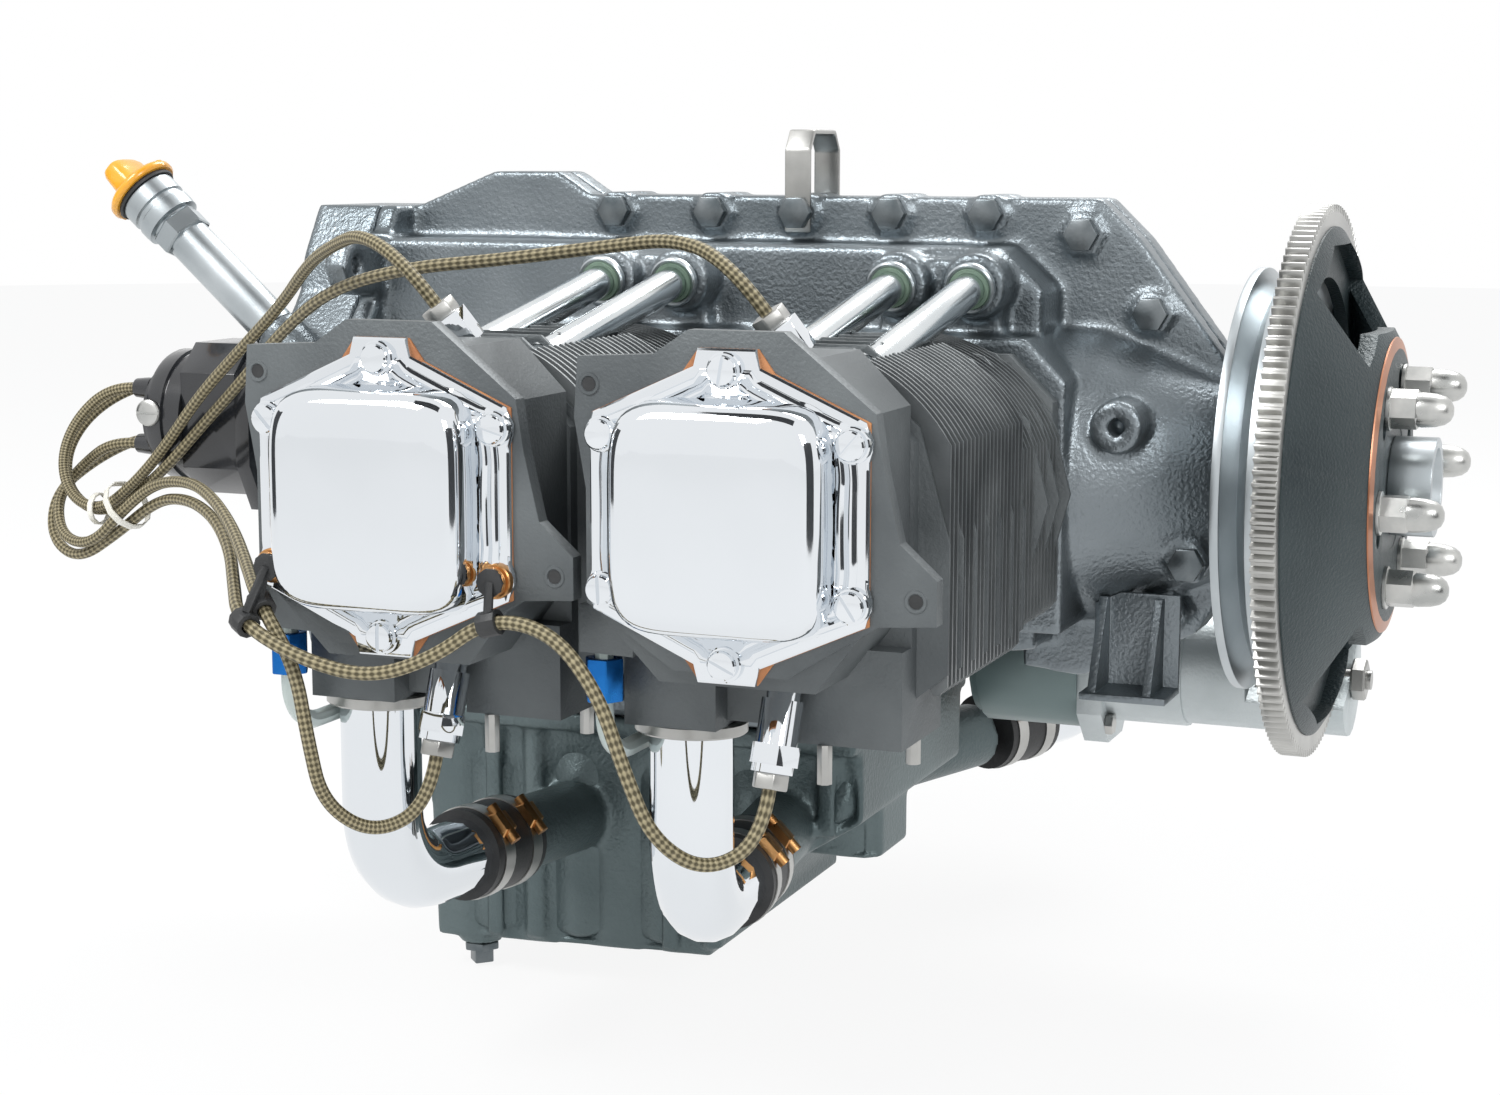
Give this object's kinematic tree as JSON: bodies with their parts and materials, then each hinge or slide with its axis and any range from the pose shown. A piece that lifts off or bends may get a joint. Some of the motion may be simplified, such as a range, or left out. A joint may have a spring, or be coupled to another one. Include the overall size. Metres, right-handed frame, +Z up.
{
  "type": "flat aircraft engine",
  "caption": "Horizontally opposed air-cooled piston aircraft engine with chromed rocker covers, starter ring gear and flanged propeller hub.",
  "frame": {"origin": "centre of the four rear mounting lugs, on their rear face", "axes": "+X forward along the crankshaft to the propeller, +Y to the engine's left, +Z up"},
  "size_m": [0.8939, 0.8484, 0.527],
  "materials": {
    "case_metal": "dark grey metallic paint on cast aluminium",
    "head_paint": "satin dark grey paint on cast aluminium",
    "chrome_plate": "polished chrome",
    "gasket_sheet": "orange-brown gasket sheet",
    "zinc_steel": "zinc plated steel",
    "tube_alloy": "polished aluminium",
    "seal_rubber": "greenish rubber",
    "black_gloss": "gloss black",
    "lead_braid": "olive-tan braided sleeve",
    "nylon": "natural nylon",
    "hose_rubber": "black rubber",
    "blue_anodise": "blue anodised",
    "filler_yellow": "gloss orange-yellow",
    "starter_dark": "dark green-grey paint",
    "starter_alloy": "bare die-cast aluminium",
    "dark_cone": "textured dark paint with bare copper-coloured edges",
    "gear_steel": "machined steel",
    "crank_steel": "ground steel",
    "piston_alloy": "machined aluminium"
  },
  "bodies": {
    "engine_case": {"accessory_housing": "case_metal", "alternator_bracket": "case_metal", "base_nuts": "zinc_steel", "case_bolts": "zinc_steel", "cover_gaskets": "gasket_sheet", "cover_screws": "chrome_plate", "crankcase_left": "case_metal", "crankcase_right": "case_metal", "cylinder_1": "head_paint", "cylinder_2": "head_paint", "cylinder_3": "head_paint", "cylinder_4": "head_paint", "drain_plug": "zinc_steel", "exhaust_studs": "zinc_steel", "filler_tube": "tube_alloy", "hose_clamps": "zinc_steel", "intake_hoses": "hose_rubber", "intake_pipes": "chrome_plate", "lead_1_bottom": "lead_braid", "lead_1_top": "lead_braid", "lead_3_bottom": "lead_braid", "lead_3_top": "lead_braid", "lead_clamps": "zinc_steel", "lead_nuts": "zinc_steel", "lead_ties": "nylon", "lifting_eye": "zinc_steel", "magneto_cap_left": "black_gloss", "magneto_cap_right": "black_gloss", "magneto_left": "black_gloss", "magneto_right": "black_gloss", "oil_return_tubes": "tube_alloy", "oil_sump": "case_metal", "pushrod_tubes": "tube_alloy", "return_nuts": "blue_anodise", "rocker_cover_1": "chrome_plate", "rocker_cover_2": "chrome_plate", "rocker_cover_3": "chrome_plate", "rocker_cover_4": "chrome_plate", "spark_plugs": "chrome_plate", "starter_housing": "starter_alloy", "starter_motor": "starter_dark", "tube_seals": "seal_rubber"},
    "crank_assembly": {"crankshaft": "crank_steel", "ring_gear": "gear_steel", "gear_support": "dark_cone", "drive_pulley": "dark_cone", "prop_nuts": "zinc_steel", "crank_gear": "gear_steel"},
    "camshaft_body": {"camshaft": "crank_steel"},
    "idler_right_body": {"idler_right": "gear_steel"},
    "idler_left_body": {"idler_left": "gear_steel"},
    "rotor_right_body": {"rotor_right": "gear_steel"},
    "rotor_left_body": {"rotor_left": "gear_steel"},
    "piston_1_body": {"piston_1": "piston_alloy"},
    "piston_2_body": {"piston_2": "piston_alloy"},
    "piston_3_body": {"piston_3": "piston_alloy"},
    "piston_4_body": {"piston_4": "piston_alloy"},
    "dipstick_body": {"dipstick": "crank_steel"},
    "filler_cap_body": {"filler_cap": "filler_yellow"},
    "starter_pinion_body": {"starter_pinion": "gear_steel"}
  },
  "joints": [
    {"name": "crankshaft_spin", "type": "hinge", "parent": "engine_case", "child": "crank_assembly", "pos_m": [0, 0, 0], "axis": [1, 0, 0], "continuous": true},
    {"name": "camshaft_spin", "type": "hinge", "parent": "engine_case", "child": "camshaft_body", "pos_m": [0, 0, 0.11166], "axis": [1, 0, 0], "continuous": true},
    {"name": "idler_right_spin", "type": "hinge", "parent": "engine_case", "child": "idler_right_body", "pos_m": [0, -0.03606, 0.04628], "axis": [1, 0, 0], "continuous": true},
    {"name": "idler_left_spin", "type": "hinge", "parent": "engine_case", "child": "idler_left_body", "pos_m": [0, 0.03606, 0.04628], "axis": [1, 0, 0], "continuous": true},
    {"name": "magneto_right_spin", "type": "hinge", "parent": "engine_case", "child": "rotor_right_body", "pos_m": [0, -0.088, 0.019], "axis": [1, 0, 0], "continuous": true},
    {"name": "magneto_left_spin", "type": "hinge", "parent": "engine_case", "child": "rotor_left_body", "pos_m": [0, 0.088, 0.019], "axis": [1, 0, 0], "continuous": true},
    {"name": "piston_1_stroke", "type": "slide", "parent": "engine_case", "child": "piston_1_body", "axis": [0, 1, 0], "range_m": [0, 0.0984]},
    {"name": "piston_2_stroke", "type": "slide", "parent": "engine_case", "child": "piston_2_body", "axis": [0, -1, 0], "range_m": [0, 0.0984]},
    {"name": "piston_3_stroke", "type": "slide", "parent": "engine_case", "child": "piston_3_body", "axis": [0, -1, 0], "range_m": [0, 0.0984]},
    {"name": "piston_4_stroke", "type": "slide", "parent": "engine_case", "child": "piston_4_body", "axis": [0, 1, 0], "range_m": [0, 0.0984]},
    {"name": "dipstick_pull", "type": "slide", "parent": "engine_case", "child": "dipstick_body", "axis": [-0.7455, 0, 0.6665], "range_m": [0, 0.16]},
    {"name": "filler_cap_turn", "type": "hinge", "parent": "dipstick_body", "child": "filler_cap_body", "pos_m": [-0.042, -0.1, 0.077], "axis": [-0.7455, 0, 0.6665], "range_deg": [0, 360]},
    {"name": "starter_pinion_spin", "type": "hinge", "parent": "engine_case", "child": "starter_pinion_body", "pos_m": [0, 0.1, -0.135], "axis": [1, 0, 0], "continuous": true}
  ],
  "couplings": [
    {"joint": "camshaft_spin", "follows": "crankshaft_spin", "ratio": 0.5},
    {"joint": "idler_right_spin", "follows": "crankshaft_spin", "ratio": -0.375},
    {"joint": "idler_left_spin", "follows": "crankshaft_spin", "ratio": -0.375},
    {"joint": "magneto_right_spin", "follows": "crankshaft_spin", "ratio": 1},
    {"joint": "magneto_left_spin", "follows": "crankshaft_spin", "ratio": 1}
  ]
}
